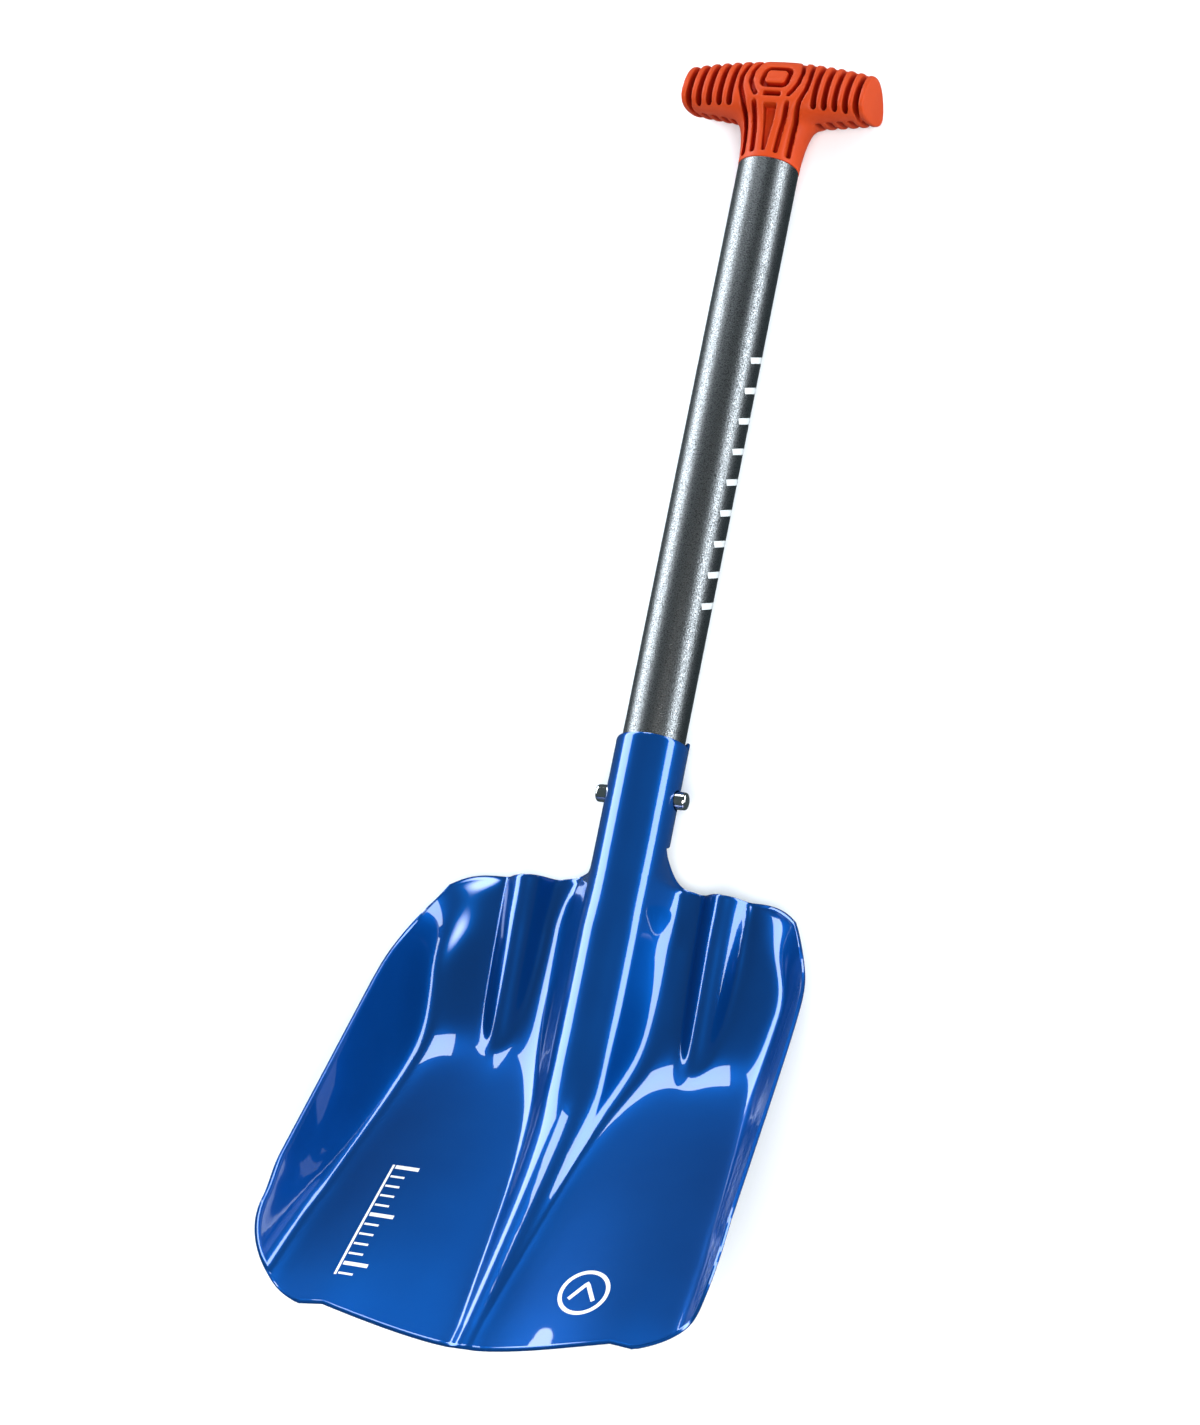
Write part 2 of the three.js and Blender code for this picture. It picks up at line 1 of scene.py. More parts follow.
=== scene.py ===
"""Looks for the avalanche shovel: lacquered blade, graphite shaft, ribbed grip, polished buttons."""
import math

import bpy
import numpy as np
from mathutils import Matrix, Vector


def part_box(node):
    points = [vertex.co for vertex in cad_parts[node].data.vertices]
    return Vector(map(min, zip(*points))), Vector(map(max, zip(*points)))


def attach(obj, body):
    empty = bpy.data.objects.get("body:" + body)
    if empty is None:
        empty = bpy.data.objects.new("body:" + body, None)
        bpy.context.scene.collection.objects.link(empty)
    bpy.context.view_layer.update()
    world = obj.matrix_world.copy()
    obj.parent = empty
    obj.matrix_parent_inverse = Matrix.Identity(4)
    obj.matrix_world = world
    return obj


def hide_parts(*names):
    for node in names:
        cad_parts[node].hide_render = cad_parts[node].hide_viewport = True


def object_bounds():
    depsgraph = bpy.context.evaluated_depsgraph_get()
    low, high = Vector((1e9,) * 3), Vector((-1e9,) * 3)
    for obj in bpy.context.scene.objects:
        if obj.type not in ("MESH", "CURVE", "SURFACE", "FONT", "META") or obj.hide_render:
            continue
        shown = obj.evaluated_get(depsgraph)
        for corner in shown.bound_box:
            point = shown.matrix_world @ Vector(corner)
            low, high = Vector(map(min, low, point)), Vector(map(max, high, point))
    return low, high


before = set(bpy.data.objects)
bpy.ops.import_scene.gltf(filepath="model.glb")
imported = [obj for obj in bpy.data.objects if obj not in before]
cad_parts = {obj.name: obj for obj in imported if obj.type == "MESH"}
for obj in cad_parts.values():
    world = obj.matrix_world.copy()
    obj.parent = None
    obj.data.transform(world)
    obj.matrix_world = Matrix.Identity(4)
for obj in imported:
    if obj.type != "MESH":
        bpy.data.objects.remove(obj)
CAD_BOX = [list(corner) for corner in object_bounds()]

# ---------------------------------------------------------------- frame
# Shapes are worked out in millimetres in the shaft's own frame: X across, Y along the shaft from
# the socket's rim to the grip, Z towards the open side. place() turns them into the CAD's frame.
MM = 0.001
BUTTON_DEPTH = 26.8              # the buttons' depth below the socket's rim
GAP = 0.3                        # clearance between pieces that touch
tube_low, tube_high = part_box("shaft_tube")
button_low, button_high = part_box("snap_button_right")
AXIS_Z = (tube_low.z + tube_high.z) / 2
RIM_Y = (button_low.y + button_high.y) / 2 + BUTTON_DEPTH * MM
COLLAR_Y = (tube_high.y - RIM_Y) / MM + GAP
TUBE_END = (tube_low.y - RIM_Y) / MM


def place(points):
    """Points in millimetres on the shaft's own frame, as metres in the CAD's frame."""
    return np.asarray(points, dtype=float).reshape(-1, 3) * MM + np.array([0.0, RIM_Y, AXIS_Z])


# ---------------------------------------------------------------- mesh helpers

def smooth_max(a, b, k):
    """The larger of a and b, with the corner between them rounded over about k."""
    return 0.5 * (a + b + np.hypot(a - b, k))


def smooth_min(a, b, k):
    return -smooth_max(-a, -b, k)


def clamp01(t):
    return np.clip(t, 0.0, 1.0)


def ease(t):
    """0 to 1 with a level start and end."""
    t = clamp01(t)
    return t * t * (3 - 2 * t)


def mix(a, b, t):
    return a + (b - a) * t


def mesh_object(name, points, faces, sharp_angle=None):
    """A smooth-shaded object; edges that turn by more than sharp_angle degrees stay crisp."""
    mesh = bpy.data.meshes.new(name)
    mesh.from_pydata(place(points).tolist(), [], [list(map(int, f)) for f in faces])
    mesh.validate()
    mesh.polygons.foreach_set("use_smooth", [True] * len(mesh.polygons))
    if sharp_angle is not None:
        mesh.set_sharp_from_angle(angle=math.radians(sharp_angle))
    mesh.update()
    obj = bpy.data.objects.new(name, mesh)
    bpy.context.scene.collection.objects.link(obj)
    return obj


def lathe(profile, sides, centre=(0, 0, 0), axis="y"):
    """Points and faces of a closed profile of (radius, along) pairs turned round an axis."""
    turns = np.arange(sides) * 2 * math.pi / sides
    c, s = np.cos(turns), np.sin(turns)
    points, rings, start = [], [], 0
    for radius, along in profile:
        pole = radius == 0
        count = 1 if pole else sides
        ring = np.stack([radius * s, np.full(sides, along), radius * c], 1)[:count]
        if axis == "x":
            ring = np.stack([ring[:, 1], -ring[:, 0], ring[:, 2]], 1)
        if axis == "-x":
            ring = np.stack([-ring[:, 1], ring[:, 0], ring[:, 2]], 1)
        if axis == "-z":
            ring = np.stack([ring[:, 0], ring[:, 2], -ring[:, 1]], 1)
        points.append(ring + np.array(centre))
        rings.append([start + (0 if pole else j) for j in range(sides)])
        start += count
    pairs = list(zip(rings, rings[1:]))
    if profile[0][0] > 0:
        pairs.append((rings[-1], rings[0]))
    faces = []
    for here, after in pairs:
        for j in range(sides):
            k = (j + 1) % sides
            corners = list(dict.fromkeys((here[j], here[k], after[k], after[j])))
            if len(corners) > 2:
                faces.append(tuple(corners))
    return np.concatenate(points), faces


def rounded(profile, radii, steps=4):
    """The profile with each corner that has a radius replaced by an arc-like curve."""
    out = []
    count = len(profile)
    for i, (corner, radius) in enumerate(zip(profile, radii)):
        corner = np.array(corner, float)
        if radius == 0:
            out.append(tuple(corner))
            continue
        before = np.array(profile[i - 1], float) - corner
        after = np.array(profile[(i + 1) % count], float) - corner
        a = corner + before / np.linalg.norm(before) * radius
        b = corner + after / np.linalg.norm(after) * radius
        for k in range(steps + 1):
            t = k / steps
            out.append(tuple((1 - t) ** 2 * a + 2 * t * (1 - t) * corner + t * t * b))
    return out


def cut(obj, cutters):
    """Cuts the cutters out of obj, bakes the result into its mesh and removes the cutters."""
    for cutter in cutters:
        modifier = obj.modifiers.new("cut", "BOOLEAN")
        modifier.operation = "DIFFERENCE"
        modifier.solver = "MANIFOLD"
        modifier.object = cutter
    graph = bpy.context.evaluated_depsgraph_get()
    mesh = bpy.data.meshes.new_from_object(obj.evaluated_get(graph))
    obj.modifiers.clear()
    obj.data = mesh
    for cutter in cutters:
        bpy.data.objects.remove(cutter)


# ---------------------------------------------------------------- blade surface
# d is the depth below the socket's rim, x the distance from the middle plane.
SHEET = 2.0
SOCKET_RADIUS = 17.3
NECK_START, NECK_END, NECK_FLARE = 51.0, 68.5, 17.0
FLANK_ANGLE = 62.0
FLOOR_SLOPE, FLOOR_ZERO = 0.656, 172.8
HEEL_HEIGHT, HEEL_SLOPE, HEEL_ROUND = -12.0, -0.04, 16.0
RIM_SLOPE, RIM_ZERO = 0.555, 86.0
WALL_SLOPE, CORNER_WALL_SLOPE = 2.6, 1.1
DISH, DISH_HALF_WIDTH = 10.5, 75.0
CORNER_DEPTH = 80.0
TOOTH_DEPTH, TOOTH_HALF_WIDTH = 306.0, 77.3
NOTCH_DEPTH, NOTCH_HALF_WIDTH = 304.7, 66.6
EDGE_DEPTH = 315.7
RIB_X, RIB_TOP_DEPTH = 48.5, 70.7
RIDGE_BEND, RIDGE_END, RIDGE_HEIGHT = 175.0, 305.0, 11.0
VALLEY_X = SOCKET_RADIUS + NECK_FLARE
SHARP_ANGLE = 35                 # degrees; edges that turn by more are shaded crisp


def floor_height(d):
    return FLOOR_SLOPE * (d - FLOOR_ZERO)


def wall_half_width(d):
    """Half the width between the side walls at their rims; the upper corners round it off."""
    return 100.4 + 0.042 * (d - 120) - 14.1 * np.exp((CORNER_DEPTH - d) / 14)


def outline_half_width(d):
    """Half the width of the sheet's outline, which the lower corners round off."""
    start = 258.0
    t = clamp01((d - start) / (TOOTH_DEPTH - start))
    full = wall_half_width(TOOTH_DEPTH) - 0.8 - TOOTH_HALF_WIDTH
    return wall_half_width(d) - 0.8 * ease((d - 235) / 25) - full * t ** (2.4 + 1.4 * t * t)


def rim_height(d):
    """Height of the side walls' top edge; the upper corners and the lower end depart from a line."""
    line = RIM_SLOPE * (d - RIM_ZERO) - 2 * ease((d - 240) / 20)
    return line + 3.3 * np.exp(-((d - 97) / 13) ** 2)


def wall_height(x, d):
    slope = mix(CORNER_WALL_SLOPE, WALL_SLOPE, ease((d - CORNER_DEPTH) / 45))
    return rim_height(d) - slope * (wall_half_width(d) - x)


def flank_angle(d):
    """How far round the ridge's half round goes before its straight flanks begin."""
    t = clamp01((d - NECK_START) / (NECK_END - NECK_START))
    return np.radians(mix(90.0, FLANK_ANGLE, t ** 2))


def ridge_drop(x, d):
    """How far the ridge's surface lies below its crest."""
    angle = flank_angle(d)
    tangent_x = SOCKET_RADIUS * np.sin(angle)
    arc = SOCKET_RADIUS - np.sqrt(np.maximum(0, SOCKET_RADIUS ** 2 - np.minimum(x, tangent_x) ** 2))
    return arc + np.tan(np.minimum(angle, math.radians(89))) * np.maximum(0, x - tangent_x)


def ridge_along(d):
    """0 above the ridge's bend, rising evenly to 1 at its end."""
    return clamp01(smooth_max((d - RIDGE_BEND) / (RIDGE_END - RIDGE_BEND), 0.0, 0.03))


def ridge_height(x, d):
    along = ridge_along(d)
    size = mix(1.0, 0.25, along)
    bend = 0.5 + 9 * ease((d - 100) / 60)
    crest = smooth_max(SOCKET_RADIUS, floor_height(d) + RIDGE_HEIGHT * (1 - along), bend)
    return crest - size * ridge_drop(x / size, d)


def pan_height(x, d):
    """The pan without its ridge: heel, dished floor, shoulder rib and side wall."""
    dish = DISH * ease((d - 130) / 170) * (1 - np.cos(np.pi * np.minimum(x / DISH_HALF_WIDTH, 1))) / 2
    tray = smooth_max(floor_height(d) + dish, HEEL_HEIGHT + HEEL_SLOPE * (d - NECK_END), HEEL_ROUND)
    rib = -0.06 * (d - NECK_END) - (x - RIB_X) ** 2 / 12
    crease = mix(15.0, 9.0, ease((d - 120) / 100))
    return smooth_max(smooth_max(tray, rib, 3), wall_height(x, d), crease)


def sheet_height(x, d):
    """Height of the blade's front face above the shaft's axis, for x measured from the middle."""
    blend = mix(mix(3.0, 15.0, ease((d - 58) / 40)), 5.0, ease((d - 120) / 120))
    return smooth_max(ridge_height(x, d), pan_height(x, d), blend)


def top_edge_depth(x):
    inner = mix(NECK_END, RIB_TOP_DEPTH, clamp01((x - VALLEY_X) / (RIB_X - VALLEY_X)))
    outer = RIB_TOP_DEPTH + (CORNER_DEPTH - RIB_TOP_DEPTH) * (np.maximum(0, x - RIB_X) / 36.1) ** 3.5
    return np.where(x <= RIB_X, inner, outer)


def cutting_edge_depth(x):
    share = np.minimum(x / NOTCH_HALF_WIDTH, 1)
    inner = EDGE_DEPTH - (EDGE_DEPTH - NOTCH_DEPTH) * share ** 1.5
    beyond = (x - NOTCH_HALF_WIDTH) / (TOOTH_HALF_WIDTH - NOTCH_HALF_WIDTH)
    return np.where(x > NOTCH_HALF_WIDTH, mix(NOTCH_DEPTH, TOOTH_DEPTH, beyond), inner)


RIDGE_COLUMNS, FLANK_COLUMNS, OUTER_COLUMNS = 20, 20, 60


def neck_row(d):
    """One side's front-face points across the socket and its flare, from the middle outwards."""
    t = float(clamp01((d - NECK_START) / (NECK_END - NECK_START)))
    turns = flank_angle(d) * np.arange(RIDGE_COLUMNS + 1) / RIDGE_COLUMNS
    x, z = SOCKET_RADIUS * np.sin(turns), SOCKET_RADIUS * np.cos(turns)
    if t > 0:
        z = mix(z, sheet_height(x, d), t)
        edge_x = SOCKET_RADIUS + NECK_FLARE * (1 - math.sqrt(1 - t * t))
        edge_z = mix(0.0, HEEL_HEIGHT, float(ease(1.3 * t)))
        share = np.arange(1, FLANK_COLUMNS + 1) / FLANK_COLUMNS
        flank_x = mix(x[-1], edge_x, share)
        straight = mix(z[-1], edge_z, share)
        flank_z = mix(straight, sheet_height(flank_x, d), t)
        x, z = np.concatenate([x, flank_x]), np.concatenate([z, flank_z])
    return np.stack([x, np.full_like(x, -d), z], 1)


def pan_row(side):
    """One side's front-face points across the pan; side is the row's depth at the outline."""
    edge_x = outline_half_width(side)
    turns = math.radians(FLANK_ANGLE) * np.arange(RIDGE_COLUMNS + 1) / RIDGE_COLUMNS
    ridge = SOCKET_RADIUS * np.sin(turns)
    flank = mix(ridge[-1], VALLEY_X, np.arange(1, FLANK_COLUMNS + 1) / FLANK_COLUMNS)
    outer = mix(VALLEY_X, edge_x, np.arange(1, OUTER_COLUMNS + 1) / OUTER_COLUMNS)
    x = np.concatenate([ridge, flank, outer])
    top_share = clamp01((140 - side) / (140 - CORNER_DEPTH)) ** 2
    bottom_share = clamp01((side - 200) / (TOOTH_DEPTH - 200)) ** 2
    d = side + top_share * (top_edge_depth(x) - CORNER_DEPTH) \
        + bottom_share * (cutting_edge_depth(x) - TOOTH_DEPTH)
    return np.stack([x, -d, sheet_height(x, d)], 1)


def mirrored(half):
    """Both sides of a row, keyed by column number, negative on the left."""
    row = {}
    for j, (x, y, z) in enumerate(half):
        row[j] = (x, y, z)
        row[-j] = (-x, y, z)
    return row


def thick_sheet(rows, thickness, fan_column=None, edge_steps=4):
    """A closed sheet whose front face is the rows' grid and whose cut edges are rounded."""
    index, points = {}, []
    for i, row in enumerate(rows):
        for j, p in row.items():
            index[i, j] = len(points)
            points.append(p)
    points = np.array(points)
    faces = []
    for (i, j), a in index.items():
        b, c, e = index.get((i + 1, j)), index.get((i + 1, j + 1)), index.get((i, j + 1))
        if None not in (b, c, e):
            faces.append((a, b, c, e))
    for i in range(len(rows) - 1):
        here, after = max(rows[i]), max(rows[i + 1])
        if here == fan_column and after > here:
            for j in range(here, after):
                faces.append((index[i, here], index[i + 1, j], index[i + 1, j + 1]))
                faces.append((index[i, -here], index[i + 1, -j - 1], index[i + 1, -j]))
    normals = np.zeros_like(points)
    directed = set()
    for f in faces:
        p = points[list(f)]
        normal = np.cross(p[1] - p[0], p[-1] - p[0]) + np.cross(p[-1] - p[-2], p[-3] - p[-2])
        for k, v in enumerate(f):
            normals[v] += normal
            directed.add((v, f[(k + 1) % len(f)]))
    normals /= np.linalg.norm(normals, axis=1)[:, None]
    border = [(a, b) for a, b in directed if (b, a) not in directed]
    outward = np.zeros_like(points)
    for a, b in border:
        way = np.cross(points[b] - points[a], normals[a] + normals[b])
        outward[a] += way
        outward[b] += way
    edge = sorted({v for pair in border for v in pair})
    outward[edge] /= np.linalg.norm(outward[edge], axis=1)[:, None]
    radius = thickness / 2
    front = points.copy()
    front[edge] -= outward[edge] * radius
    middle = front - normals * radius
    back = front - normals * thickness
    count = len(points)
    all_points = [front, back]
    ring_index = {0: {v: v for v in edge}, edge_steps: {v: v + count for v in edge}}
    for k in range(1, edge_steps):
        turn = math.pi * k / edge_steps
        ring_index[k] = {v: count * 2 + (k - 1) * len(edge) + n for n, v in enumerate(edge)}
        swung = math.cos(turn) * normals[edge] + math.sin(turn) * outward[edge]
        all_points.append(middle[edge] + radius * swung)
    all_faces = list(faces) + [tuple(v + count for v in reversed(f)) for f in faces]
    for a, b in border:
        for k in range(edge_steps):
            here, after = ring_index[k], ring_index[k + 1]
            all_faces.append((here[b], here[a], after[a], after[b]))
    return np.concatenate(all_points), all_faces


def joined(parts):
    """One set of points and faces from several."""
    points, faces, start = [], [], 0
    for part_points, part_faces in parts:
        points.append(part_points)
        faces += [tuple(v + start for v in f) for f in part_faces]
        start += len(part_points)
    return np.concatenate(points), faces


# The socket's rear half: two leaves that meet at a seam, with a raised rear rim.
LEAF_START, SEAM_HALF = 84.0, 0.4     # the leaf starts at this angle from the front, inside the sheet
TAB_HEIGHT = 4.0                      # the raised rear rim
LEAF_END_SIDE, LEAF_END_REAR = -50.5, -42.0
BUTTON_HOLE = 5.0


def rear_leaf(side):
    seam = 180 - math.degrees(SEAM_HALF / SOCKET_RADIUS)
    angles = np.linspace(LEAF_START, seam, 34)
    radius = SOCKET_RADIUS - 0.01
    rows = []
    for share in np.linspace(0, 1, 48):
        row = {}
        for j, angle in enumerate(angles):
            top = TAB_HEIGHT * float(ease((angle - 99) / 12))
            around = float(ease((angle - 88) / 92))
            low = mix(LEAF_END_SIDE, LEAF_END_REAR, around ** 0.8)
            turn = math.radians(angle)
            y = mix(top, low, share)
            row[j if side > 0 else -j] = (side * radius * math.sin(turn), y, radius * math.cos(turn))
        rows.append(row)
    return thick_sheet(rows, SHEET - 0.02)


def button_cutter(radius, axis, reach):
    """A cylinder from inside the tube out through one wall, where a button passes."""
    profile = [(0, 10), (radius, 10), (radius, reach), (0, reach)]
    return mesh_object("hole_cutter", *lathe(profile, 48, (0, -BUTTON_DEPTH, 0), axis))


def make_blade():
    rows = [mirrored(neck_row(d)) for d in np.linspace(0, NECK_START, 26)]
    rows += [mirrored(neck_row(d)) for d in np.arange(NECK_START + 3, NECK_END - 0.5, 1.0)]
    rows += [mirrored(pan_row(side)) for side in np.linspace(CORNER_DEPTH, TOOTH_DEPTH, 170)]
    front = thick_sheet(rows, SHEET, fan_column=RIDGE_COLUMNS)
    blade = mesh_object("blade_sheet", *joined([front, rear_leaf(1), rear_leaf(-1)]))
    for axis in ("-x", "x"):
        cut(blade, [button_cutter(BUTTON_HOLE, axis, 24)])
    blade.data.set_sharp_from_angle(angle=math.radians(SHARP_ANGLE))
    return blade


# ---------------------------------------------------------------- shaft, plug, rivet and buttons
TUBE_RADIUS, TUBE_BORE = 15.0, 13.5
FLANGE_INNER, FLANGE_OUTER, FLANGE_RADIUS = 10.8, 12.0, 5.5
BUTTON_RADIUS, BUTTON_REACH = 4.25, 22.8
TUBE_HOLE = BUTTON_RADIUS + GAP
RIVET_Y = 288.0


def make_tube():
    low, high = TUBE_END, COLLAR_Y - GAP
    profile = [(TUBE_BORE, low), (TUBE_RADIUS, low), (TUBE_RADIUS, high), (TUBE_BORE, high)]
    points, faces = lathe(rounded(profile, [0.3, 0.4, 0.25, 0.25]), 128)
    tube = mesh_object("tube_body", points, faces)
    cut(tube, [button_cutter(TUBE_HOLE, axis, 20) for axis in ("x", "-x")])
    tube.data.set_sharp_from_angle(angle=math.radians(SHARP_ANGLE))
    return tube


def make_plug():
    seat = TUBE_END - GAP
    plug = TUBE_BORE - GAP
    profile = [(0, seat - 3), (14.2, seat - 3), (14.6, seat), (plug, seat),
               (plug, seat + 14), (11, seat + 14), (11, seat + 1), (0, seat + 1)]
    points, faces = lathe(rounded(profile, [0, 1.2, 0.3, 0.2, 0.3, 0.3, 0.3, 0]), 96)
    return mesh_object("end_plug_body", points, faces, SHARP_ANGLE)


def make_button(name, axis):
    tip = BUTTON_REACH
    profile = [(0, FLANGE_INNER), (FLANGE_RADIUS, FLANGE_INNER), (FLANGE_RADIUS, FLANGE_OUTER),
               (BUTTON_RADIUS, FLANGE_OUTER), (BUTTON_RADIUS, tip - 0.5), (0, tip)]
    smooth = rounded(profile, [0, 0.25, 0.25, 0.2, 1.7, 0], 8)
    return mesh_object(name, *lathe(smooth, 64, (0, -BUTTON_DEPTH, 0), axis), SHARP_ANGLE)


def make_rivet():
    seat = TUBE_RADIUS + 0.05
    profile = [(0, 3.6), (2.4, 3.6), (2.4, seat), (4.2, seat), (3.7, seat + 1.2), (0, seat + 1.6)]
    smooth = rounded(profile, [0, 0.3, 0, 0.2, 0.8, 0])
    return mesh_object("rivet_body", *lathe(smooth, 48, (0, RIVET_Y, 0), "-z"), SHARP_ANGLE)


# ---------------------------------------------------------------- grip
GRIP_HALF_WIDTH = 46.8
BAR_TOP, BAR_BOTTOM, BAR_DEPTH = 358.3, 327.0, 18.0
BAR_TAPER, BAR_TILT = 0.36, math.radians(16)
GROOVE_PITCH, FIRST_GROOVE_X, GROOVES_PER_SIDE = 5.3, 21.5, 5
GROOVE_HALF, GROOVE_DEPTH = 1.4, 5.5
POCKET_HALF, POCKET_DEPTH = 1.3, 3.6
POCKET_REAR, POCKET_FRONT = -9, 3.5
ENGRAVED_HALF, ENGRAVED_DEPTH = 1.15, 4.6
SECTION_POWER = 2.4              # 2 would make the bar's section an ellipse
BADGE_Y = 344.3
CELL = 0.5                       # spacing of the grid that the grip's surface is found on


def surface_nets(field, low, cell):
    """Points and faces of the zero surface of a field sampled on a regular grid."""
    inside = field < 0
    cells = np.array(field.shape) - 1
    total = np.zeros((*cells, 3), np.float32)
    hits = np.zeros(cells, np.float32)
    corner = [(0, 0, 0), (1, 0, 0), (0, 1, 0), (1, 1, 0), (0, 0, 1), (1, 0, 1), (0, 1, 1), (1, 1, 1)]

    def at(grid, o):
        return grid[o[0]:o[0] + cells[0], o[1]:o[1] + cells[1], o[2]:o[2] + cells[2]]

    for axis in range(3):
        for o in corner:
            if o[axis]:
                continue
            q = list(o)
            q[axis] = 1
            a, b = at(field, o), at(field, q)
            crossing = at(inside, o) != at(inside, q)
            t = np.where(crossing, a / np.where(crossing, a - b, 1), 0)
            hits += crossing
            for k in range(3):
                step = t if k == axis else o[k]
                total[..., k] += np.where(crossing, step, 0)
    used = hits > 0
    number = np.full(cells, -1)
    number[used] = np.arange(used.sum())
    where = np.argwhere(used)
    points = (where + total[used] / hits[used][:, None]) * cell + np.array(low)
    faces = []
    for axis in range(3):
        u, v = (axis + 1) % 3, (axis + 2) % 3
        span = [slice(1, c) for c in cells]
        span[axis] = slice(0, cells[axis])
        ahead = list(span)
        ahead[axis] = slice(1, cells[axis] + 1)
        a, b = inside[tuple(span)], inside[tuple(ahead)]
        base = np.argwhere(a != b)
        outward = a[tuple(base.T)]
        offset = np.array([1, 1, 1])
        offset[axis] = 0
        base = base + offset
        quad = []
        for du, dv in ((1, 1), (0, 1), (0, 0), (1, 0)):
            index = base.copy()
            index[:, u] -= du
            index[:, v] -= dv
            quad.append(number[tuple(index.T)])
        quad = np.stack(quad, 1)
        quad[~outward] = quad[~outward][:, ::-1]
        faces.append(quad)
    return points, np.concatenate(faces)


def segment_distance(x, y, a, b):
    """Distance in the plane from (x, y) to the stretch from a to b."""
    ax, ay = a
    bx, by = b
    t = clamp01(((x - ax) * (bx - ax) + (y - ay) * (by - ay)) / ((bx - ax) ** 2 + (by - ay) ** 2))
    return np.hypot(x - mix(ax, bx, t), y - mix(ay, by, t))


def path_distance(x, y, path):
    return np.minimum.reduce([segment_distance(x, y, a, b) for a, b in zip(path, path[1:])])


def rounded_box(x, y, half_x, half_y, corner):
    qx, qy = np.abs(x) - half_x + corner, np.abs(y) - half_y + corner
    return np.hypot(np.maximum(qx, 0), np.maximum(qy, 0)) + np.minimum(np.maximum(qx, qy), 0) - corner


def grip_field(x, y, z):
    """Signed distance, near enough, to the grip: x, y and z broadcast against each other."""
    t = np.abs(x) / GRIP_HALF_WIDTH
    top, bottom = BAR_TOP - 5.0 * t * t, BAR_BOTTOM + 3.5 * t * t
    centre, half = (top + bottom) / 2, (top - bottom) / 2
    v = ((y - centre) * math.cos(BAR_TILT) + z * math.sin(BAR_TILT)) / half
    w = (z * math.cos(BAR_TILT) - (y - centre) * math.sin(BAR_TILT)) / BAR_DEPTH
    w = w / (1 - BAR_TAPER * np.clip(v, -1, 1))
    bar = ((np.abs(v) ** SECTION_POWER + np.abs(w) ** SECTION_POWER) ** (1 / SECTION_POWER) - 1) * 12
    bar = smooth_max(bar, np.abs(x) - GRIP_HALF_WIDTH + 0.15, 0.6)
    rise = np.maximum(0, (y - COLLAR_Y) / 25)
    stem_half = TUBE_RADIUS + 3 * rise ** 2
    stem = (np.hypot(x / stem_half, z / TUBE_RADIUS) - 1) * TUBE_RADIUS
    stem = np.maximum(stem, np.maximum(COLLAR_Y - y, y - BAR_BOTTOM - 12))
    body = smooth_min(bar, stem, 4)

    side = np.abs(x)
    lower, upper = BAR_BOTTOM + 2.5, BAR_TOP + 6
    groove_slots, pocket_slots = [], []
    for i in range(GROOVES_PER_SIDE):
        slot_x = FIRST_GROOVE_X + GROOVE_PITCH * i
        groove_slots.append(segment_distance(side, y, (slot_x, lower), (slot_x, upper)) - GROOVE_HALF)
        pocket = segment_distance(side, z, (slot_x, POCKET_REAR), (slot_x, POCKET_FRONT))
        pocket_slots.append(pocket - POCKET_HALF)
    grooves = np.minimum.reduce(groove_slots)
    ear = [(8, 362), (11, 355), (12.6, 347.5), (12.2, 341), (10.2, 336.5), (8.5, 334)]
    ear = path_distance(side, y, ear) - 1.1
    sweep = [(15, 364), (16.4, 352), (17.4, 343.5), (16.8, 337.5), (14.4, 331), (12.9, 325), (11.9, 318),
             (11.4, 311), (11.3, 305)]
    sweep = path_distance(side, y, sweep) - ENGRAVED_HALF
    fan = [(8.4, 329.5), (7.4, 323), (6.4, 315.4), (5.8, 305.5)]
    fan = path_distance(side, y, fan) - ENGRAVED_HALF
    badge_y = y - BADGE_Y
    moat = np.maximum(rounded_box(x, badge_y, 7.6, 6.8, 4), -rounded_box(x, badge_y, 5.2, 4.4, 2.2))
    slot = rounded_box(x, y - 334, 4.5, 1.2, 0.5)
    window_half = mix(0.9, 3.3, clamp01((y - 305.5) / 23))
    window = np.maximum(side - window_half, np.abs(y - 317) - 12)
    pattern = np.minimum.reduce([ear, sweep, fan, moat, slot, window])

    engraved = np.maximum(np.maximum(pattern, -body - ENGRAVED_DEPTH), 3 - z)
    ribs = np.maximum(np.maximum(grooves, -body - GROOVE_DEPTH), 2.2 - np.abs(z))
    pockets = np.maximum(np.minimum.reduce(pocket_slots), -body - POCKET_DEPTH)
    pockets = np.maximum(pockets, y - BAR_BOTTOM - 4.5)
    carved = np.minimum(np.minimum(engraved, ribs), pockets)
    return smooth_max(body, -carved, 0.45)


def make_grip():
    low = np.array([-GRIP_HALF_WIDTH - 1.5, COLLAR_Y - 1, -BAR_DEPTH - 4])
    high = np.array([GRIP_HALF_WIDTH + 1.5, BAR_TOP + 1.5, BAR_DEPTH + 4])
    x, y, z = [np.arange(a, b + CELL, CELL, dtype=np.float32) for a, b in zip(low, high)]
    field = grip_field(x[:, None, None], y[None, :, None], z[None, None, :]).astype(np.float32)
    points, faces = surface_nets(field, low, CELL)
    spigot = [(0, 269.7), (13.2, 269.7), (13.2, COLLAR_Y + 1), (0, COLLAR_Y + 1)]
    part = lathe(rounded(spigot, [0, 1.0, 0, 0]), 64)
    return mesh_object("grip_body", *joined([(points, [tuple(f) for f in faces]), part]), 50)


# ---------------------------------------------------------------- printed marks

LIFT = 0.06                      # how far the ink stands off the surface


